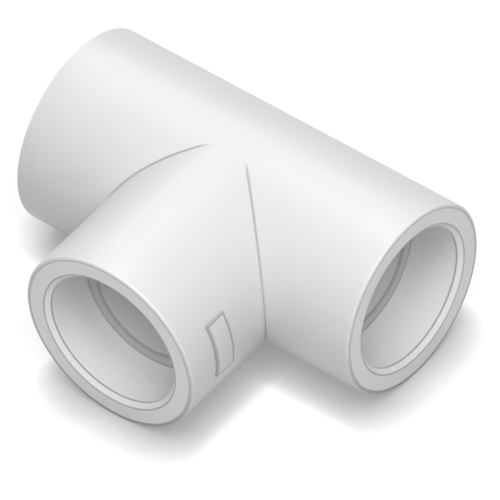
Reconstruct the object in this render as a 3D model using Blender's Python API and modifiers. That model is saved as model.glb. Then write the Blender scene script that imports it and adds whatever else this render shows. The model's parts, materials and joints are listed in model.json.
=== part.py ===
"""Equal tee fitting for solvent-welded plastic pipe, in metres, +Z up.

The run lies along X and the branch points along -Y. The tee lies on its side on z = 0, with its origin
under the middle of its bounding box. Both barrels have the same outside diameter, so they meet in two
mitre planes at 45 degrees to the run.
"""

import math

import bpy

# Barrels
BARREL_RADIUS = 0.0170
RUN_LENGTH = 0.0680
BRANCH_REACH = 0.0360

# Sockets and waterway
SOCKET_RADIUS = 0.0126
SOCKET_DEPTH = 0.0100
STOP_SHOULDER = 0.0023
WATERWAY_RADIUS = SOCKET_RADIUS - STOP_SHOULDER
LEAD_IN = 0.0008
RIM_CHAMFER = 0.0004

# Marking pad on the branch's flank
PAD_LENGTH = 0.0110
PAD_WIDTH = 0.0044
PAD_RISE = 0.0003
PAD_SEAT = 0.0006
PAD_SETBACK = 0.0084
PAD_ANGLE = math.radians(82.0)

# Clearance between neighbouring pieces
FIT_GAP = 0.0003

# Facets round a full turn
TURN_STEPS = 64

# Weld distance where a turned profile closes on itself
WELD_DISTANCE = 0.00001

# Edges sharper than this stay crisp
SHARP_ANGLE = math.radians(30.0)

# How the pieces sit: the run's axis along X, the branch's axis along -Y
RUN_TURN = (0.0, math.radians(90.0), 0.0)
BRANCH_TURN = (math.radians(90.0), 0.0, 0.0)
MITRE_TURN = (0.0, 0.0, math.radians(45.0))
PAD_TURN = (0.0, PAD_ANGLE, 0.0)

# White unplasticised PVC as base colour, and its roughness
OUTER_WHITE = (0.78, 0.80, 0.79, 1.0)
INNER_WHITE = (0.93, 0.95, 0.94, 1.0)
PAD_WHITE = (0.78, 0.80, 0.79, 1.0)
PLASTIC_ROUGHNESS = 0.38


def clear_scene():
    """Remove every object that the scene starts with."""
    for thing in list(bpy.data.objects):
        bpy.data.objects.remove(thing, do_unlink=True)


def new_collection(name):
    """Make a collection under the scene's own."""
    collection = bpy.data.collections.new(name)
    bpy.context.scene.collection.children.link(collection)
    return collection


def plastic(name, colour):
    """A moulded plastic with one colour."""
    material = bpy.data.materials.new(name)
    material.use_nodes = True
    shader = material.node_tree.nodes["Principled BSDF"]
    shader.inputs["Base Color"].default_value = colour
    shader.inputs["Roughness"].default_value = PLASTIC_ROUGHNESS
    shader.inputs["Metallic"].default_value = 0.0
    return material


def tee_centre():
    """An empty where the run's and the branch's axes cross."""
    empty = bpy.data.objects.new("tee_centre", None)
    empty.location = (0.0, (BRANCH_REACH - BARREL_RADIUS) / 2.0, BARREL_RADIUS)
    bpy.context.scene.collection.objects.link(empty)
    return empty


def turned(name, profile, collection):
    """Turn a closed profile of (radius, height) points about its local Z axis.

    The profile runs down its outer side first, so that the faces point out.
    """
    count = len(profile)
    points = [(radius, 0.0, height) for radius, height in profile]
    edges = [(i, (i + 1) % count) for i in range(count)]
    mesh = bpy.data.meshes.new(name)
    mesh.from_pydata(points, edges, [])
    piece = bpy.data.objects.new(name, mesh)
    collection.objects.link(piece)
    screw = piece.modifiers.new("turn", "SCREW")
    screw.axis = "Z"
    screw.angle = math.tau
    screw.steps = TURN_STEPS
    screw.render_steps = TURN_STEPS
    screw.use_merge_vertices = True
    screw.merge_threshold = WELD_DISTANCE
    screw.use_smooth_shade = True
    return piece


def mouth_top(outer, inner, end):
    """Profile corners of a socket mouth that faces up, from the inner edge to the outer one."""
    return [
        (inner, end - LEAD_IN),
        (inner + LEAD_IN, end),
        (outer - RIM_CHAMFER, end),
        (outer, end - RIM_CHAMFER),
    ]


def mouth_bottom(outer, inner, end):
    """The same mouth facing down, from the outer edge to the inner one."""
    return [
        (outer, end + RIM_CHAMFER),
        (outer - RIM_CHAMFER, end),
        (inner + LEAD_IN, end),
        (inner, end + LEAD_IN),
    ]


def place(piece, name, location, turn, collection):
    """Name a new primitive, set it in its place and keep it in one collection."""
    piece.name = name
    piece.location = location
    piece.rotation_euler = turn
    for old in list(piece.users_collection):
        old.objects.unlink(piece)
    collection.objects.link(piece)
    return piece


def box(name, size, location, turn, collection):
    """A box of a given size, with its scale applied."""
    bpy.ops.mesh.primitive_cube_add(size=1.0)
    piece = bpy.context.active_object
    for vertex in piece.data.vertices:
        vertex.co = [part * side for part, side in zip(vertex.co, size)]
    return place(piece, name, location, turn, collection)


def as_cutter(piece, centre):
    """Mark a piece as a guide that shapes its neighbours and is no part of the tee."""
    piece.parent = centre
    piece.hide_render = True
    piece.display_type = "WIRE"
    return piece


def shape_with(piece, cutter, operation):
    """Cut a piece with a cutter, or keep only what lies inside it."""
    cut = piece.modifiers.new(cutter.name, "BOOLEAN")
    cut.operation = operation
    cut.solver = "EXACT"
    cut.object = cutter


def finish(piece, centre, material):
    """Hang a piece on the tee's centre and give it its plastic."""
    piece.parent = centre
    piece.data.materials.append(material)
    piece.data.shade_smooth()
    piece.data.set_sharp_from_angle(angle=SHARP_ANGLE)


def mitre_cutter(name, apex, centre, collection):
    """A block whose corner edge stands upright at (0, apex) and which opens towards -Y at 45 degrees."""
    side = 2.0 * (BRANCH_REACH + RUN_LENGTH)
    middle = (0.0, apex - side / math.sqrt(2.0), 0.0)
    return as_cutter(box(name, (side, side, side), middle, MITRE_TURN, collection), centre)


def run_tube(name, profile, notch, centre, material, collection):
    """A tube along the run, notched where the branch comes in."""
    piece = turned(name, profile, collection)
    piece.rotation_euler = RUN_TURN
    shape_with(piece, notch, "DIFFERENCE")
    finish(piece, centre, material)
    return piece


def branch_tube(name, profile, mitre, centre, material, collection):
    """A tube along the branch, with its inner end mitred to the run."""
    piece = turned(name, profile, collection)
    piece.rotation_euler = BRANCH_TURN
    shape_with(piece, mitre, "INTERSECT")
    finish(piece, centre, material)
    return piece


def barrels(notch, mitre, centre, collection):
    """The outer walls of the run and the branch."""
    half = RUN_LENGTH / 2.0
    run_profile = (
        mouth_top(BARREL_RADIUS, SOCKET_RADIUS, half)
        + mouth_bottom(BARREL_RADIUS, SOCKET_RADIUS, -half)
    )
    branch_profile = (
        mouth_top(BARREL_RADIUS, SOCKET_RADIUS, BRANCH_REACH)
        + [(BARREL_RADIUS, -BARREL_RADIUS), (SOCKET_RADIUS, -BARREL_RADIUS)]
    )
    run_plastic = plastic("run_barrel_plastic", OUTER_WHITE)
    branch_plastic = plastic("branch_barrel_plastic", OUTER_WHITE)
    run_tube("run_barrel", run_profile, notch, centre, run_plastic, collection)
    return branch_tube("branch_barrel", branch_profile, mitre, centre, branch_plastic, collection)


def sleeves(notch, mitre, centre, collection):
    """The inner walls of the run and the branch, whose ends stop the pipes."""
    outer = SOCKET_RADIUS - FIT_GAP
    stop = RUN_LENGTH / 2.0 - SOCKET_DEPTH
    branch_stop = BRANCH_REACH - SOCKET_DEPTH
    run_profile = [
        (WATERWAY_RADIUS, stop),
        (outer, stop),
        (outer, -stop),
        (WATERWAY_RADIUS, -stop),
    ]
    branch_profile = [
        (WATERWAY_RADIUS, branch_stop),
        (outer, branch_stop),
        (outer, -outer),
        (WATERWAY_RADIUS, -outer),
    ]
    run_plastic = plastic("run_sleeve_plastic", INNER_WHITE)
    branch_plastic = plastic("branch_sleeve_plastic", INNER_WHITE)
    run_tube("run_sleeve", run_profile, notch, centre, run_plastic, collection)
    branch_tube("branch_sleeve", branch_profile, mitre, centre, branch_plastic, collection)


def marking_pad(branch, centre, collection, cutters):
    """A bare pad that stands proud of the branch, let into a pocket in its flank."""
    crown = BARREL_RADIUS + PAD_RISE
    half_length = PAD_LENGTH / 2.0
    floor = math.sqrt(BARREL_RADIUS**2 - half_length**2) - PAD_SEAT
    along = PAD_SETBACK - BRANCH_REACH

    def block(name, margin, low, high, group):
        """A block square to the branch, between two distances from its axis."""
        middle = (low + high) / 2.0
        size = (PAD_LENGTH + 2.0 * margin, PAD_WIDTH + 2.0 * margin, high - low)
        spot = (middle * math.sin(PAD_ANGLE), along, middle * math.cos(PAD_ANGLE))
        return box(name, size, spot, PAD_TURN, group)

    pocket = as_cutter(block("pad_pocket", FIT_GAP, floor, crown + PAD_SEAT, cutters), centre)
    shape_with(branch, pocket, "DIFFERENCE")

    bpy.ops.mesh.primitive_cylinder_add(vertices=TURN_STEPS, radius=crown, depth=2.0 * PAD_WIDTH)
    face = bpy.context.active_object
    as_cutter(place(face, "pad_face", (0.0, along, 0.0), BRANCH_TURN, cutters), centre)

    pad = block("marking_pad", 0.0, floor + FIT_GAP, crown + PAD_SEAT, collection)
    shape_with(pad, face, "INTERSECT")
    finish(pad, centre, plastic("marking_pad_plastic", PAD_WHITE))


def build_tee():
    """Build every piece of the tee."""
    clear_scene()
    collection = new_collection("tee_fitting")
    cutters = new_collection("cutters")
    centre = tee_centre()
    half_gap = FIT_GAP / 2.0 * math.sqrt(2.0)
    notch = mitre_cutter("run_notch", half_gap, centre, cutters)
    mitre = mitre_cutter("branch_mitre", -half_gap, centre, cutters)
    branch = barrels(notch, mitre, centre, collection)
    sleeves(notch, mitre, centre, collection)
    marking_pad(branch, centre, collection, cutters)
    bpy.context.view_layer.update()


build_tee()
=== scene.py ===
"""Looks of a white plastic tee fitting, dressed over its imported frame.

Every barrel and sleeve is turned again with fine rounded edges and meets its neighbour on the same mitre
planes as the solids. All lengths are in metres, in the frame of the solids.
"""

from __future__ import annotations

import json
import logging
import math
from dataclasses import dataclass
from enum import Enum
from typing import Any, Sequence

import bmesh
import bpy
from mathutils import Matrix, Vector

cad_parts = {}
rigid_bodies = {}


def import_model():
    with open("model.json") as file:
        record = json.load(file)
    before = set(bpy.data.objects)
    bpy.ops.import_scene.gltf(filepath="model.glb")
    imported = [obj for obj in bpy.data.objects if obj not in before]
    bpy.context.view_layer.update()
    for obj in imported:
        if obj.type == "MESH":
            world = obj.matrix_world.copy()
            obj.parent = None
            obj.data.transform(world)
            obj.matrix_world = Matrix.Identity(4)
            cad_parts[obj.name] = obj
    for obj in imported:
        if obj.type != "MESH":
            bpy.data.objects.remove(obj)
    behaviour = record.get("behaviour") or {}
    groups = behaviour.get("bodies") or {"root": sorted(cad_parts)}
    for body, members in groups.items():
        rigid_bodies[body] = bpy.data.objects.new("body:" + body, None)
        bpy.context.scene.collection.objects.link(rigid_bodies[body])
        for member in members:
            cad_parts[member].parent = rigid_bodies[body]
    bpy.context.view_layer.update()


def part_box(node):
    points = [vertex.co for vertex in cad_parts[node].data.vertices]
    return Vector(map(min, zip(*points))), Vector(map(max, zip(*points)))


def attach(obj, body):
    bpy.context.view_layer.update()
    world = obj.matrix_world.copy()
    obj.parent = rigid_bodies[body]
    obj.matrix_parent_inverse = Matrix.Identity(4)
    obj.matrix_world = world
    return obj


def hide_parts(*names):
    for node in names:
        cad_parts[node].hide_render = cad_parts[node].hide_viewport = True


LOG = logging.getLogger("tee_fitting")

BODY = "root"
MILLIMETRE = 0.001

# How fine the turned pieces are
TURN_STEPS = 240
ROUND_STEPS = 5
WELD_DISTANCE = 0.0000005
SHARP_ANGLE = math.radians(35.0)
SINE_SLACK = 1e-9

# Mesh attributes that carry painted dark lines, painted shade and painted light into the shader
LINE_ATTRIBUTE = "edge_line"
PAINTED_LIGHT_ATTRIBUTE = "painted_light"

Colour = tuple[float, float, float]
WHITE = (1.0, 1.0, 1.0, 1.0)
BLACK = (0.0, 0.0, 0.0, 1.0)


class Limb(Enum):
    """The three arms of the tee, each measured outwards from where the axes cross."""

    RIGHT = "right"
    LEFT = "left"
    BRANCH = "branch"

    def point(self, centre: Vector, angle: float, radius: float, along: float) -> Vector:
        """Place a point of a turned arm.

        Args:
            centre: where the axes cross.
            angle: turn from the crown, towards the branch on the run and towards +X on the branch.
            radius: distance from the arm's axis.
            along: distance from the crossing along the arm.

        Returns:
            The point in the frame of the solids.
        """
        side = radius * math.sin(angle)
        height = radius * math.cos(angle)
        if self is Limb.BRANCH:
            return centre + Vector((side, -along, height))
        outwards = along if self is Limb.RIGHT else -along
        return centre + Vector((outwards, -side, height))

    def seam(self, radius: float, angle: float) -> float:
        """How far from the crossing the mitre plane cuts a turned surface."""
        side = radius * math.sin(angle)
        return abs(side) if self is Limb.BRANCH else max(0.0, side)

    def mitred(self, angle: float) -> bool:
        """Whether the arm ends at a mitre plane at this angle, and not at the other half of the run."""
        return self is Limb.BRANCH or math.sin(angle) > -SINE_SLACK


@dataclass(frozen=True)
class Row:
    """One corner of a turned profile.

    Attributes:
        radius: distance from the axis.
        along: distance from the crossing.
        line: how dark the painted line or painted shade is here, from 0 to 1.
        painted_light: how much painted light brightens the surface here, and how much smoother it is, from
            0 to 1.
    """

    radius: float
    along: float
    line: float = 0.0
    painted_light: float = 0.0


@dataclass(frozen=True)
class TeeSizes:
    """The tee's main sizes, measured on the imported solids."""

    centre: Vector
    barrel: float
    socket: float
    waterway: float
    run_reach: float
    branch_reach: float
    run_stop: float
    branch_stop: float

    FIT_GAP = 0.3 * MILLIMETRE
    STOP_SHOULDER = 2.3 * MILLIMETRE

    @classmethod
    def from_frame(cls) -> TeeSizes:
        """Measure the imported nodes.

        Returns:
            The sizes that every piece is built from.
        """
        run_low, run_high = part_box("run_barrel")
        branch_low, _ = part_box("branch_barrel")
        sleeve_low, sleeve_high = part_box("run_sleeve")
        branch_sleeve_low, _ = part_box("branch_sleeve")
        centre = (run_low + run_high) / 2.0
        socket = (sleeve_high.z - sleeve_low.z) / 2.0 + cls.FIT_GAP
        return cls(
            centre=centre,
            barrel=(run_high.z - run_low.z) / 2.0,
            socket=socket,
            waterway=socket - cls.STOP_SHOULDER,
            run_reach=run_high.x - centre.x,
            branch_reach=centre.y - branch_low.y,
            run_stop=sleeve_high.x - centre.x,
            branch_stop=centre.y - branch_sleeve_low.y,
        )

    def reach(self, limb: Limb) -> float:
        """Distance from the crossing to an arm's mouth."""
        return self.branch_reach if limb is Limb.BRANCH else self.run_reach

    def stop(self, limb: Limb) -> float:
        """Distance from the crossing to an arm's pipe stop."""
        return self.branch_stop if limb is Limb.BRANCH else self.run_stop


@dataclass(frozen=True)
class Seam:
    """The fine groove between the run and the branch, with painted shade in it, which both die out at the
    crown.
    """

    gap: float = 0.005 * MILLIMETRE
    depth: float = 0.05 * MILLIMETRE
    round: float = 0.14 * MILLIMETRE
    line_width: float = 0.38 * MILLIMETRE
    left_line: float = 0.75
    right_line: float = 0.42
    flank_loss: float = 0.55
    flank_power: int = 4
    shoulder: float = 0.3
    wall_share: float = 0.9
    fade_from: float = math.sin(math.radians(11.0))
    fade_to: float = math.sin(math.radians(17.0))

    def strength(self, angle: float) -> float:
        """Share of the full groove at an angle from the crown."""
        share = (abs(math.sin(angle)) - self.fade_from) / (self.fade_to - self.fade_from)
        share = min(1.0, max(0.0, share))
        return share * share * (3.0 - 2.0 * share)

    def painted_line_and_shade(self, limb: Limb, angle: float) -> float:
        """How dark the painted shade in the full groove is: most on the run's left half, and less towards
        the flanks.

        Args:
            limb: the arm.
            angle: turn from the crown.

        Returns:
            The painted shade's strength, from 0 to 1.
        """
        line = self.left_line if limb is Limb.LEFT else self.right_line
        return line * (1.0 - self.flank_loss * math.sin(angle) ** self.flank_power)

    def rows(self, limb: Limb, angle: float, radius: float) -> list[Row]:
        """The rounded outer edge of an arm at the seam.

        Args:
            limb: the arm.
            angle: turn from the crown.
            radius: the arm's outer radius.

        Returns:
            Profile rows from the mitre plane out to the plain wall.
        """
        share = self.strength(angle) if limb.mitred(angle) else 0.0
        gap = self.gap * share
        sunk = radius - self.depth * share
        start = limb.seam(radius, angle) + gap
        reach = self.round * share
        # Painted shade in the crease, strongest on the run's left half and fading out towards the crown.
        line = self.painted_line_and_shade(limb, angle) * share
        return [
            Row(sunk, limb.seam(sunk, angle) + gap, line),
            Row(radius - self.shoulder * self.depth * share, start + self.shoulder * reach, line),
            Row(radius, start + reach, self.wall_share * line),
            Row(radius, start + self.round + self.line_width),
        ]


@dataclass(frozen=True)
class Mouth:
    """A socket mouth: rounded rim, flat face and lead-in chamfer, with painted dark lines at its edges,
    darker on the rim's lower side, painted shade at the bore's edge, and painted light on rim, face,
    chamfer and bore.
    """

    rim_round: float = 0.45 * MILLIMETRE
    lead_in: float = 0.8 * MILLIMETRE
    line_width: float = 0.15 * MILLIMETRE
    # Painted dark lines at the face's outer edge and on the rim, darker towards the bottom, and at the
    # chamfer's top; painted shade at the bore's edge; painted light on the face and the bore.
    rim_line: float = 0.45
    lower_rim_line: float = 0.85
    face_line: float = 0.55
    bore_line: float = 0.62
    face_painted_light: float = 1.0
    bore_painted_light: float = 1.0

    def rows(self, barrel: float, socket: float, end: float, angle: float) -> list[Row]:
        """Profile rows from the outer wall round to the socket's wall.

        Args:
            barrel: outer radius.
            socket: bore radius.
            end: distance of the mouth from the crossing.
            angle: turn from the crown.

        Returns:
            The rows, with an edge line at each drawn edge.
        """
        # Painted dark line on the rim, darker towards the bottom of the mouth.
        lower_rim_darkening = self.lower_rim_line * (1.0 - math.cos(angle)) / 2.0
        rim = max(self.rim_line, lower_rim_darkening)
        # Painted highlight across the middle of the rim's rounding, and painted light towards the face.
        rows = [
            Row(
                barrel - self.rim_round * (1.0 - math.cos(turn)),
                end - self.rim_round * (1.0 - math.sin(turn)),
                line=lower_rim_darkening * math.sin(turn) ** 2,
                painted_light=max(math.sin(2.0 * turn), self.face_painted_light * math.sin(turn)),
            )
            for turn in quarter_turn()
        ]
        face_edge = barrel - self.rim_round
        chamfer_top = socket + self.lead_in
        slope = self.line_width / math.sqrt(2.0)
        # Painted dark lines at the face's outer edge and the chamfer's top, painted light over face and
        # chamfer, painted shade at the bore's edge, then painted light down the bore.
        rows += [
            Row(face_edge - self.line_width, end, rim, self.face_painted_light),
            Row(face_edge - 2.0 * self.line_width, end, self.rim_line, self.face_painted_light),
            Row(face_edge - 3.0 * self.line_width, end, 0.0, self.face_painted_light),
            Row(chamfer_top + 2.0 * self.line_width, end, 0.0, self.face_painted_light),
            Row(chamfer_top + self.line_width, end, self.face_line, self.face_painted_light),
            Row(chamfer_top, end, self.face_line),
            Row(chamfer_top - slope, end - slope, 0.0, 1.0),
            Row(socket + slope, end - self.lead_in + slope, 0.0, 1.0),
            Row(socket, end - self.lead_in, self.bore_line),
            Row(socket, end - self.lead_in - self.line_width, self.bore_line),
            Row(socket, end - self.lead_in - 2.0 * self.line_width, 0.0, self.bore_painted_light),
        ]
        return rows


def shading_layers(mesh: bmesh.types.BMesh) -> tuple[Any, Any]:
    """Add the vertex layers for painted dark lines and painted shade, and for painted light."""
    line = mesh.verts.layers.float.new(LINE_ATTRIBUTE)
    return line, mesh.verts.layers.float.new(PAINTED_LIGHT_ATTRIBUTE)


def quarter_turn() -> list[float]:
    """Angles of a rounded edge, from 0 to a quarter turn."""
    return [0.5 * math.pi * step / ROUND_STEPS for step in range(ROUND_STEPS + 1)]


def spread(first: float, last: float, count: int) -> list[float]:
    """Even places strictly between two ends."""
    return [first + (last - first) * step / (count + 1) for step in range(1, count + 1)]


class TurnedPiece:
    """A piece turned about one or two arms of the tee, with its ends on the mitre planes."""

    def __init__(self, name: str, limbs: Sequence[Limb], sizes: TeeSizes) -> None:
        """Keep what the piece is turned from.

        Args:
            name: the piece's name.
            limbs: the arms that it runs along.
            sizes: the tee's sizes.
        """
        self.name = name
        self.limbs = limbs
        self.sizes = sizes

    def profile(self, limb: Limb, angle: float) -> list[Row]:
        """Rows of the closed section at one angle, from the outer seam edge round to the inner one."""
        raise NotImplementedError

    def build(self) -> bpy.types.Object:
        """Turn the piece and link it into the scene.

        Returns:
            The finished mesh object, in place.
        """
        mesh = bmesh.new()
        layers = shading_layers(mesh)
        for limb in self.limbs:
            self._turn(mesh, layers, limb)
        bmesh.ops.remove_doubles(mesh, verts=mesh.verts, dist=WELD_DISTANCE)
        bmesh.ops.dissolve_degenerate(mesh, edges=mesh.edges, dist=WELD_DISTANCE)
        bmesh.ops.recalc_face_normals(mesh, faces=mesh.faces)
        return link_mesh(self.name, mesh)

    def _turn(self, mesh: bmesh.types.BMesh, layers: tuple[Any, Any], limb: Limb) -> None:
        """Add one arm's skin to the mesh.

        Args:
            mesh: the mesh under construction.
            layers: the vertex layers for painted dark lines and painted shade, and for painted light.
            limb: the arm to turn.
        """
        line, painted_light = layers
        angles = [math.tau * step / TURN_STEPS for step in range(TURN_STEPS)]
        rings = []
        for angle in angles:
            ring = []
            for row in self.profile(limb, angle):
                vertex = mesh.verts.new(limb.point(self.sizes.centre, angle, row.radius, row.along))
                vertex[line] = row.line
                vertex[painted_light] = row.painted_light
                ring.append(vertex)
            rings.append(ring)
        for step, ring in enumerate(rings):
            after = (step + 1) % TURN_STEPS
            other = rings[after]
            for here, there in zip(range(len(ring) - 1), range(1, len(ring))):
                mesh.faces.new((ring[here], ring[there], other[there], other[here]))
            if limb.mitred(angles[step]) and limb.mitred(angles[after]):
                mesh.faces.new((ring[-1], ring[0], other[0], other[-1]))


class Barrel(TurnedPiece):
    """An outer wall with its socket mouths."""

    WALL_ROWS = 4

    def __init__(self, name: str, limbs: Sequence[Limb], sizes: TeeSizes, mouth: Mouth, seam: Seam) -> None:
        """Keep the mouth and the seam beside the sizes.

        Args:
            name: the piece's name.
            limbs: the arms that it runs along.
            sizes: the tee's sizes.
            mouth: the shape of its mouths.
            seam: the shape of its seam.
        """
        super().__init__(name, limbs, sizes)
        self.mouth = mouth
        self.seam = seam

    def profile(self, limb: Limb, angle: float) -> list[Row]:
        """Rows of the wall at one angle."""
        sizes = self.sizes
        end = sizes.reach(limb)
        edge = self.seam.rows(limb, angle, sizes.barrel)
        lip = self.mouth.rows(sizes.barrel, sizes.socket, end, angle)
        wall = [Row(sizes.barrel, place) for place in spread(edge[-1].along, lip[0].along, self.WALL_ROWS)]
        inner_seam = limb.seam(sizes.socket, angle)
        # Painted light: the socket's bore is painted lighter.
        painted_light = self.mouth.bore_painted_light
        places = [*spread(lip[-1].along, inner_seam, self.WALL_ROWS), inner_seam]
        bore = [Row(sizes.socket, place, painted_light=painted_light) for place in places]
        return [*edge, *wall, *lip, *bore]


class Sleeve(TurnedPiece):
    """The thicker inner wall, whose end faces stop the pipes."""

    WALL_ROWS = 3
    HIDDEN_GAP = 0.01 * MILLIMETRE
    EDGE_ROUND = 0.18 * MILLIMETRE
    LINE_WIDTH = 0.22 * MILLIMETRE
    # How dark the painted shade is over the stop face and in its corner, and the painted dark line at its
    # inner edge.
    FACE_LINE = 0.42
    CORNER_LINE = 0.65
    EDGE_LINE = 0.65

    def profile(self, limb: Limb, angle: float) -> list[Row]:
        """Rows of the sleeve at one angle."""
        sizes = self.sizes
        outer = sizes.socket - self.HIDDEN_GAP
        inner = sizes.waterway
        stop = sizes.stop(limb)
        rows = [Row(outer, limb.seam(outer, angle))]
        rows += [Row(outer, place) for place in spread(rows[0].along, stop, self.WALL_ROWS)]
        # Painted shade in the corner at the stop and over the stop face, and a painted dark line round its
        # inner rounded edge.
        rows += [
            Row(outer, stop, self.CORNER_LINE),
            Row(outer - self.LINE_WIDTH, stop, self.CORNER_LINE),
            Row(outer - 2.0 * self.LINE_WIDTH, stop, self.FACE_LINE),
            Row(inner + self.EDGE_ROUND + 2.0 * self.LINE_WIDTH, stop, self.FACE_LINE),
            Row(inner + self.EDGE_ROUND + self.LINE_WIDTH, stop, self.EDGE_LINE),
        ]
        rows += [
            Row(
                inner + self.EDGE_ROUND * (1.0 - math.sin(turn)),
                stop - self.EDGE_ROUND * (1.0 - math.cos(turn)),
                self.EDGE_LINE,
            )
            for turn in quarter_turn()
        ]
        rows.append(Row(inner, rows[-1].along - self.LINE_WIDTH, 0.0))
        inner_seam = limb.seam(inner, angle)
        rows += [Row(inner, place) for place in spread(rows[-1].along, inner_seam, self.WALL_ROWS)]
        rows.append(Row(inner, inner_seam))
        return rows


@dataclass(frozen=True)
class PadRow:
    """One row of the pad's section, counted in from its border.

    Attributes:
        inset: distance inside the border; negative is outside it.
        height: height over the barrel.
        line: how dark the painted shade or painted dark line is in the row.
        painted_light: how much painted highlight brightens the row.
    """

    inset: float
    height: float
    line: float = 0.0
    painted_light: float = 0.0


@dataclass(frozen=True)
class MarkingPad:
    """The bare pad on the branch's flank, bent to the barrel.

    Attributes:
        sizes: the tee's sizes.
        along: the pad's middle, from the crossing.
        width: its size along the branch.
        rise: how far it stands proud of the barrel.
    """

    sizes: TeeSizes
    along: float
    width: float
    rise: float
    angle: float = math.radians(82.0)
    length: float = 11.0 * MILLIMETRE
    sunk: float = 0.3 * MILLIMETRE
    edge_round: float = 0.10 * MILLIMETRE
    foot_reach: float = 0.10 * MILLIMETRE
    line_width: float = 0.45 * MILLIMETRE
    # How dark the painted shade is at the foot and up the wall, and the painted dark line along the top
    # edge.
    wall_line: float = 0.70
    edge_line: float = 0.62
    bends: int = 22
    cross_rows: int = 4

    NAME = "bare_marking_pad"

    @classmethod
    def from_frame(cls, sizes: TeeSizes) -> MarkingPad:
        """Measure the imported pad.

        Args:
            sizes: the tee's sizes.

        Returns:
            The pad to build.
        """
        low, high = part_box("marking_pad")
        return cls(
            sizes=sizes,
            along=sizes.centre.y - (low.y + high.y) / 2.0,
            width=high.y - low.y,
            rise=high.x - sizes.centre.x - sizes.barrel,
        )

    def build(self) -> bpy.types.Object:
        """Make the pad as a bent plate with a soft edge and a foot that runs out on the barrel.

        Returns:
            The finished mesh object, in place.
        """
        mesh = bmesh.new()
        layers = shading_layers(mesh)
        lengthways = self._span(self.length, self.bends)
        crossways = self._span(self.width, self.cross_rows)
        for underside in (False, True):
            self._skin(mesh, layers, lengthways, crossways, underside)
        bmesh.ops.remove_doubles(mesh, verts=mesh.verts, dist=WELD_DISTANCE)
        bmesh.ops.dissolve_degenerate(mesh, edges=mesh.edges, dist=WELD_DISTANCE)
        bmesh.ops.recalc_face_normals(mesh, faces=mesh.faces)
        return link_mesh(self.NAME, mesh)

    def _border(self) -> list[PadRow]:
        """Rows from the buried foot up the wall and over the soft edge."""
        # Painted shade at the buried foot and up the wall.
        rows = [
            PadRow(-self.foot_reach, -self.sunk, self.wall_line),
            PadRow(-self.foot_reach, 0.0, self.wall_line),
            PadRow(0.0, self.foot_reach, self.wall_line),
        ]
        # Painted highlight across the middle of the soft edge, with a painted dark line over it.
        for turn in quarter_turn():
            inset = self.edge_round * (1.0 - math.cos(turn))
            height = self.rise - self.edge_round * (1.0 - math.sin(turn))
            rows.append(PadRow(inset, height, self.edge_line, math.sin(2.0 * turn)))
        rows.append(PadRow(self.edge_round + self.line_width / 2.0, self.rise, self.edge_line))
        rows.append(PadRow(self.edge_round + self.line_width, self.rise))
        return rows

    def _span(self, size: float, inner: int) -> list[tuple[float, PadRow]]:
        """Places across the pad from one buried foot to the other.

        Args:
            size: the pad's size in this direction.
            inner: plain rows between the two soft edges.

        Returns:
            Pairs of a place, counted from the pad's middle, and the row there.
        """
        border = self._border()
        half = size / 2.0
        first = [(row.inset - half, row) for row in border]
        last = [(half - row.inset, row) for row in reversed(border)]
        plain = PadRow(half, self.rise)
        middle = [(place, plain) for place in spread(first[-1][0], last[0][0], inner)]
        return [*first, *middle, *last]

    def _skin(
        self,
        mesh: bmesh.types.BMesh,
        layers: tuple[Any, Any],
        lengthways: list[tuple[float, PadRow]],
        crossways: list[tuple[float, PadRow]],
        underside: bool,
    ) -> None:
        """Add the pad's upper or lower skin.

        Args:
            mesh: the mesh under construction.
            layers: the vertex layers for painted dark lines and painted shade, and for painted light.
            lengthways: places round the barrel.
            crossways: places along the branch.
            underside: whether this is the buried lower skin.
        """
        line, painted_light = layers
        grid = []
        for arc, long_row in lengthways:
            column = []
            for shift, cross_row in crossways:
                height = -self.sunk if underside else min(long_row.height, cross_row.height)
                turn = self.angle + arc / self.sizes.barrel
                radius = self.sizes.barrel + height
                spot = Limb.BRANCH.point(self.sizes.centre, turn, radius, self.along + shift)
                vertex = mesh.verts.new(spot)
                vertex[line] = max(long_row.line, cross_row.line)
                vertex[painted_light] = max(long_row.painted_light, cross_row.painted_light)
                column.append(vertex)
            grid.append(column)
        for column, other in zip(grid, grid[1:]):
            for here in range(len(column) - 1):
                mesh.faces.new((column[here], column[here + 1], other[here + 1], other[here]))


def link_mesh(name: str, mesh: bmesh.types.BMesh) -> bpy.types.Object:
    """Turn a finished bmesh into a smooth-shaded object.

    Args:
        name: the object's name.
        mesh: the bmesh, which is freed.

    Returns:
        The object, linked into the scene.
    """
    data = bpy.data.meshes.new(name)
    mesh.to_mesh(data)
    mesh.free()
    data.shade_smooth()
    data.set_sharp_from_angle(angle=SHARP_ANGLE)
    piece = bpy.data.objects.new(name, data)
    bpy.context.scene.collection.objects.link(piece)
    return piece


class Value:
    """A shader socket that takes part in Python arithmetic."""

    def __init__(self, graph: Graph, socket: bpy.types.NodeSocket) -> None:
        """Wrap one output socket of a graph."""
        self.graph = graph
        self.socket = socket

    def _math(self, operation: str, first: Any, second: Any) -> Value:
        """Add one Math node and wrap its result."""
        made = self.graph.node("ShaderNodeMath", {"operation": operation}, {0: first, 1: second})
        return Value(self.graph, made.outputs[0])

    def __add__(self, other: Any) -> Value:
        """Sum with a number or a value."""
        return self._math("ADD", self, other)

    __radd__ = __add__

    def __sub__(self, other: Any) -> Value:
        """Difference, this first."""
        return self._math("SUBTRACT", self, other)

    def __rsub__(self, other: Any) -> Value:
        """Difference, this last."""
        return self._math("SUBTRACT", other, self)

    def __mul__(self, other: Any) -> Value:
        """Product with a number or a value."""
        return self._math("MULTIPLY", self, other)

    __rmul__ = __mul__

    def __pow__(self, other: Any) -> Value:
        """This value raised to a power."""
        return self._math("POWER", self, other)

    def __rpow__(self, other: Any) -> Value:
        """A number raised to this value."""
        return self._math("POWER", other, self)


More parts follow.
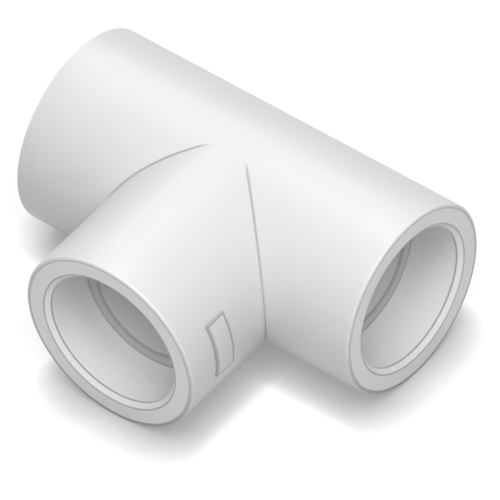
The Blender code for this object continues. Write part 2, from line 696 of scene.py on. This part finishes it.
class Graph:
    """The nodes of one material or world."""

    def __init__(self, tree: bpy.types.NodeTree) -> None:
        """Start from an empty tree."""
        self.tree = tree
        tree.nodes.clear()

    def node(
        self,
        kind: str,
        settings: dict[str, Any] | None = None,
        inputs: dict[int | str, Any] | None = None,
    ) -> bpy.types.Node:
        """Make a node, set it up and connect it.

        Args:
            kind: the node's type.
            settings: its own settings, set before its sockets.
            inputs: values, sockets or wrapped values by socket name or number.

        Returns:
            The new node.
        """
        made = self.tree.nodes.new(kind)
        for key, setting in (settings or {}).items():
            setattr(made, key, setting)
        for key, value in (inputs or {}).items():
            if isinstance(value, Value):
                value = value.socket
            if isinstance(value, bpy.types.NodeSocket):
                self.tree.links.new(value, made.inputs[key])
            else:
                made.inputs[key].default_value = value
        return made

    def mix(self, share: Value, first: Any, second: Any) -> bpy.types.NodeSocket:
        """Mix two colours by a share."""
        made = self.node("ShaderNodeMix", {"data_type": "RGBA"}, {"Factor": share, 6: first, 7: second})
        return made.outputs[2]

    def value(
        self,
        kind: str,
        output: str,
        settings: dict[str, Any] | None = None,
        inputs: dict[int | str, Any] | None = None,
    ) -> Value:
        """Make a node and wrap one of its outputs."""
        return Value(self, self.node(kind, settings, inputs).outputs[output])

    def noise(self, place: bpy.types.NodeSocket, size: float, detail: float, roughness: float) -> Value:
        """Noise in patches of a given size.

        Args:
            place: the point on the surface.
            size: size of the patches.
            detail: how many finer layers are added.
            roughness: how strong the finer layers are.

        Returns:
            The noise, from 0 to 1.
        """
        inputs = {"Vector": place, "Scale": 1.0 / size, "Detail": detail, "Roughness": roughness}
        return self.value("ShaderNodeTexNoise", "Fac", {"noise_dimensions": "3D"}, inputs)


@dataclass(frozen=True)
class MouldedPlastic:
    """White moulded plastic with a faint mottle and fine grain, painted dark lines and painted shade along
    edges and in creases, and painted light on chosen surfaces.

    Attributes:
        name: the material's name.
        tint: the plastic's colour.
        painted_line_and_shade: the colour of the painted dark lines along edges and of the painted shade in
            creases and corners.
        painted_light: the lighter colour painted where a surface should look more brightly lit.
        painted_light_polish: how much smoother such a surface is.
        roughness: the middle of the roughness range.
        roughness_swing: how far the roughness wanders either way.
        mottle: how far the colour wanders either way, as a share.
        mottle_size: size of the colour patches.
        mottle_detail: finer layers in the patches.
        mottle_roughness: strength of those layers.
        grain_size: size of the surface grain.
        grain_detail: finer layers in the grain.
        grain_roughness: strength of those layers.
        grain_depth: height of the surface grain.
        refraction: the plastic's index of refraction.
    """

    name: str
    tint: Colour = (0.783, 0.798, 0.790)
    painted_line_and_shade: Colour = (0.22, 0.225, 0.225)
    painted_light: Colour = (0.943, 0.961, 0.952)
    painted_light_polish: float = 0.03
    roughness: float = 0.36
    roughness_swing: float = 0.05
    mottle: float = 0.012
    mottle_size: float = 9.0 * MILLIMETRE
    mottle_detail: float = 3.0
    mottle_roughness: float = 0.6
    grain_size: float = 0.35 * MILLIMETRE
    grain_detail: float = 2.0
    grain_roughness: float = 0.5
    grain_depth: float = 0.0025 * MILLIMETRE
    refraction: float = 1.53

    def material(self) -> bpy.types.Material:
        """Build the node material.

        Returns:
            The new material.
        """
        made = bpy.data.materials.new(self.name)
        made.use_nodes = True
        graph = Graph(made.node_tree)
        place = graph.node("ShaderNodeTexCoord").outputs["Object"]
        patches = graph.noise(place, self.mottle_size, self.mottle_detail, self.mottle_roughness)
        grain = graph.noise(place, self.grain_size, self.grain_detail, self.grain_roughness)
        line = graph.value("ShaderNodeAttribute", "Fac", {"attribute_name": LINE_ATTRIBUTE})
        painted_light = graph.value("ShaderNodeAttribute", "Fac", {"attribute_name": PAINTED_LIGHT_ATTRIBUTE})
        dark = [channel * (1.0 - self.mottle) for channel in self.tint]
        light = [min(1.0, channel * (1.0 + self.mottle)) for channel in self.tint]
        clean = graph.mix(patches, (*dark, 1.0), (*light, 1.0))
        # Painted light mixed into the colour, then painted dark lines and painted shade over it.
        with_painted_light = graph.mix(painted_light, clean, (*self.painted_light, 1.0))
        colour = graph.mix(line, with_painted_light, (*self.painted_line_and_shade, 1.0))
        wander = patches * (2.0 * self.roughness_swing) + (self.roughness - self.roughness_swing)
        rough = wander - painted_light * self.painted_light_polish
        bump = graph.node(
            "ShaderNodeBump",
            None,
            {"Strength": 1.0, "Distance": self.grain_depth, "Height": grain},
        )
        shader = graph.node(
            "ShaderNodeBsdfPrincipled",
            None,
            {
                "Base Color": colour,
                "Roughness": rough,
                "IOR": self.refraction,
                "Normal": bump.outputs["Normal"],
            },
        )
        graph.node("ShaderNodeOutputMaterial", None, {"Surface": shader.outputs["BSDF"]})
        return made


def heading(azimuth: float, elevation: float) -> Vector:
    """Direction from the tee to something that looks at it.

    Args:
        azimuth: turn round the tee, with 0 on the -Y side.
        elevation: height above the horizon.

    Returns:
        The direction, of length 1.
    """
    level = math.cos(elevation)
    return Vector((math.sin(azimuth) * level, -math.cos(azimuth) * level, math.sin(elevation)))


@dataclass(frozen=True)
class PhotoCamera:
    """A parallel-view camera that frames the tee as the photograph does.

    Attributes:
        azimuth: turn round the tee, with 0 looking along +Y.
        elevation: height above the horizon.
        roll: turn about the line of sight.
        radius_pixels: the barrel's radius in the picture.
        crossing_pixel: where the axes cross in the picture.
        picture: the picture's side in pixels.
        distance: how far back the camera stands.
        clip_start: the nearest thing that it shows.
    """

    azimuth: float = math.radians(40.94)
    elevation: float = math.radians(46.12)
    roll: float = math.radians(-3.97)
    radius_pixels: float = 105.36
    crossing_pixel: tuple[float, float] = (246.5, 210.6)
    picture: int = 500
    distance: float = 0.4
    clip_start: float = 1.0 * MILLIMETRE

    def build(self, sizes: TeeSizes) -> None:
        """Make the camera the scene's own.

        Args:
            sizes: the tee's sizes.
        """
        back = heading(self.azimuth, self.elevation)
        level = Vector((math.cos(self.azimuth), math.sin(self.azimuth), 0.0))
        upright = back.cross(level)
        right = level * math.cos(self.roll) + upright * math.sin(self.roll)
        up = upright * math.cos(self.roll) - level * math.sin(self.roll)
        pixel = sizes.barrel / self.radius_pixels
        middle = (self.picture - 1) / 2.0
        across = (middle - self.crossing_pixel[0]) * pixel
        above = (self.crossing_pixel[1] - middle) * pixel
        data = bpy.data.cameras.new("photo_camera")
        data.type = "ORTHO"
        data.ortho_scale = self.picture * pixel
        data.clip_start = self.clip_start
        camera = bpy.data.objects.new("photo_camera", data)
        bpy.context.scene.collection.objects.link(camera)
        turn = Matrix((right, up, back)).transposed().to_4x4()
        spot = sizes.centre + right * across + up * above + back * self.distance
        camera.matrix_world = Matrix.Translation(spot) @ turn
        bpy.context.scene.camera = camera


@dataclass(frozen=True)
class SoftBox:
    """A square area lamp that looks at the tee.

    Attributes:
        name: the lamp's name.
        azimuth: turn round the tee in degrees, with 0 on the -Y side.
        elevation: height above the horizon in degrees.
        distance: how far away it hangs.
        side: the length of its side.
        share: the light that it throws on a facing surface, where 1 makes white paper white.
    """

    name: str
    azimuth: float
    elevation: float
    distance: float
    side: float
    share: float

    def build(self, target: Vector) -> None:
        """Hang the lamp.

        Args:
            target: the point that it looks at.
        """
        towards = heading(math.radians(self.azimuth), math.radians(self.elevation))
        data = bpy.data.lights.new(self.name, "AREA")
        data.shape = "SQUARE"
        data.size = self.side
        data.energy = self.share * (math.pi * self.distance) ** 2
        lamp = bpy.data.objects.new(self.name, data)
        lamp.location = target + towards * self.distance
        lamp.rotation_euler = towards.to_track_quat("Z", "Y").to_euler()
        bpy.context.scene.collection.objects.link(lamp)


@dataclass(frozen=True)
class Studio:
    """Pale floor, soft lamps and even surroundings."""

    boxes: tuple[SoftBox, ...] = (
        SoftBox("branch_key", azimuth=22.0, elevation=58.0, distance=0.5, side=0.24, share=0.36),
        SoftBox("run_key", azimuth=68.0, elevation=58.0, distance=0.5, side=0.24, share=0.34),
        SoftBox("front_fill", azimuth=45.0, elevation=30.0, distance=0.5, side=0.24, share=0.045),
        SoftBox("high_sheen", azimuth=225.0, elevation=72.0, distance=0.5, side=0.24, share=0.235),
        SoftBox("low_sheen", azimuth=225.0, elevation=40.0, distance=0.5, side=0.24, share=0.165),
    )
    surround: float = 0.12
    floor_radius: float = 3.0
    floor_segments: int = 96
    floor_seen: Colour = (0.35, 0.35, 0.35)
    floor_glow: Colour = (0.74, 0.74, 0.74)
    floor_shade: Colour = (0.27, 0.27, 0.27)
    floor_bounce: Colour = (0.55, 0.55, 0.55)
    shade_power: float = 4.0
    shade_reach: float = 6.8 * MILLIMETRE
    shade_samples: int = 8

    def build(self, target: Vector) -> None:
        """Set up floor, lamps and world.

        Args:
            target: the point that the lamps look at.
        """
        bpy.context.scene.view_settings.view_transform = "Standard"
        for box in self.boxes:
            box.build(target)
        self._world()
        self._floor()

    def _world(self) -> None:
        """Even light all round, white where the camera or a reflection looks past the floor."""
        world = bpy.data.worlds.new("studio_surround")
        world.use_nodes = True
        bpy.context.scene.world = world
        graph = Graph(world.node_tree)
        seen = self._seen(graph)
        even = graph.node("ShaderNodeBackground", None, {"Color": WHITE, "Strength": self.surround})
        white = graph.node("ShaderNodeBackground", None, {"Color": WHITE, "Strength": 1.0})
        mixed = graph.node(
            "ShaderNodeMixShader",
            None,
            {"Fac": seen, 1: even.outputs["Background"], 2: white.outputs["Background"]},
        )
        graph.node("ShaderNodeOutputWorld", None, {"Surface": mixed.outputs["Shader"]})

    @staticmethod
    def _seen(graph: Graph) -> Value:
        """1 for rays that show the background: from the camera, a reflection or through glass."""
        path = graph.node("ShaderNodeLightPath")
        looks = [Value(graph, path.outputs[name]) for name in ("Is Camera Ray", "Is Glossy Ray")]
        through = Value(graph, path.outputs["Is Transmission Ray"])
        return graph.value("ShaderNodeClamp", "Result", {}, {"Value": looks[0] + looks[1] + through})

    def _floor(self) -> None:
        """A wide pale disc that keeps the tee's lamp shadow, and a painted contact shadow where its glow
        fades near the tee.
        """
        mesh = bmesh.new()
        bmesh.ops.create_circle(mesh, cap_ends=True, radius=self.floor_radius, segments=self.floor_segments)
        floor = link_mesh("pale_floor", mesh)
        made = bpy.data.materials.new("pale_floor")
        made.use_nodes = True
        graph = Graph(made.node_tree)
        seen = self._seen(graph)
        open_sky = graph.value(
            "ShaderNodeAmbientOcclusion",
            "AO",
            {"samples": self.shade_samples},
            {"Distance": self.shade_reach},
        )
        colour = graph.mix(seen, (*self.floor_bounce, 1.0), (*self.floor_seen, 1.0))
        # Painted shadow: the floor's glow fades with ambient occlusion near the tee, on top of the lamps'
        # own shadow.
        glow_with_painted_shadow = graph.mix(open_sky**self.shade_power, (*self.floor_shade, 1.0), (*self.floor_glow, 1.0))
        glow = graph.mix(seen, BLACK, glow_with_painted_shadow)
        paper = graph.node("ShaderNodeBsdfDiffuse", None, {"Color": colour})
        white = graph.node("ShaderNodeEmission", None, {"Color": glow, "Strength": 1.0})
        both = graph.node(
            "ShaderNodeAddShader",
            None,
            {0: paper.outputs["BSDF"], 1: white.outputs["Emission"]},
        )
        graph.node("ShaderNodeOutputMaterial", None, {"Surface": both.outputs["Shader"]})
        floor.data.materials.append(made)


@dataclass(frozen=True)
class Dressing:
    """One finished piece: its object, the node that it stands for, its record slot and its finish."""

    piece: bpy.types.Object
    node: str
    slot: str
    finish: MouldedPlastic

    def apply(self) -> None:
        """Give the piece its finish and hang it on the tee's body."""
        self.piece.data.materials.append(self.finish.material())
        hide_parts(self.node)
        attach(self.piece, BODY)
        faces = len(self.piece.data.polygons)
        LOG.info("%s stands for %s with %d faces", self.piece.name, self.node, faces)


def dress_tee(sizes: TeeSizes) -> None:
    """Build and dress every piece of the tee.

    Args:
        sizes: the tee's sizes.
    """
    run = (Limb.RIGHT, Limb.LEFT)
    branch = (Limb.BRANCH,)
    mouth = Mouth()
    seam = Seam()
    outer = MouldedPlastic("outer_white_plastic")
    # Painted light: the inner walls are a lighter copy of the same plastic, to lift their shade.
    inner = MouldedPlastic("inner_white_plastic_painted_lighter", tint=(0.930, 0.948, 0.939), roughness=0.42)
    pad = MouldedPlastic("pad_white_plastic", roughness=0.32)
    run_wall = Barrel("run_wall", run, sizes, mouth, seam)
    branch_wall = Barrel("branch_wall", branch, sizes, mouth, seam)
    run_waterway = Sleeve("run_waterway", run, sizes)
    branch_waterway = Sleeve("branch_waterway", branch, sizes)
    marking_pad = MarkingPad.from_frame(sizes)
    dressings = (
        Dressing(run_wall.build(), "run_barrel", "outer_wall", outer),
        Dressing(branch_wall.build(), "branch_barrel", "outer_wall", outer),
        Dressing(run_waterway.build(), "run_sleeve", "inner_wall", inner),
        Dressing(branch_waterway.build(), "branch_sleeve", "inner_wall", inner),
        Dressing(marking_pad.build(), "marking_pad", "pad", pad),
    )
    for dressing in dressings:
        dressing.apply()


def main() -> None:
    """Load the frame, measure its sizes, and build the tee and the studio."""
    logging.basicConfig(level=logging.INFO, format="%(name)s: %(message)s")
    for thing in list(bpy.data.objects):
        bpy.data.objects.remove(thing, do_unlink=True)
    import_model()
    sizes = TeeSizes.from_frame()
    PhotoCamera().build(sizes)
    dress_tee(sizes)
    Studio().build(sizes.centre)


if __name__ == "__main__":
    main()
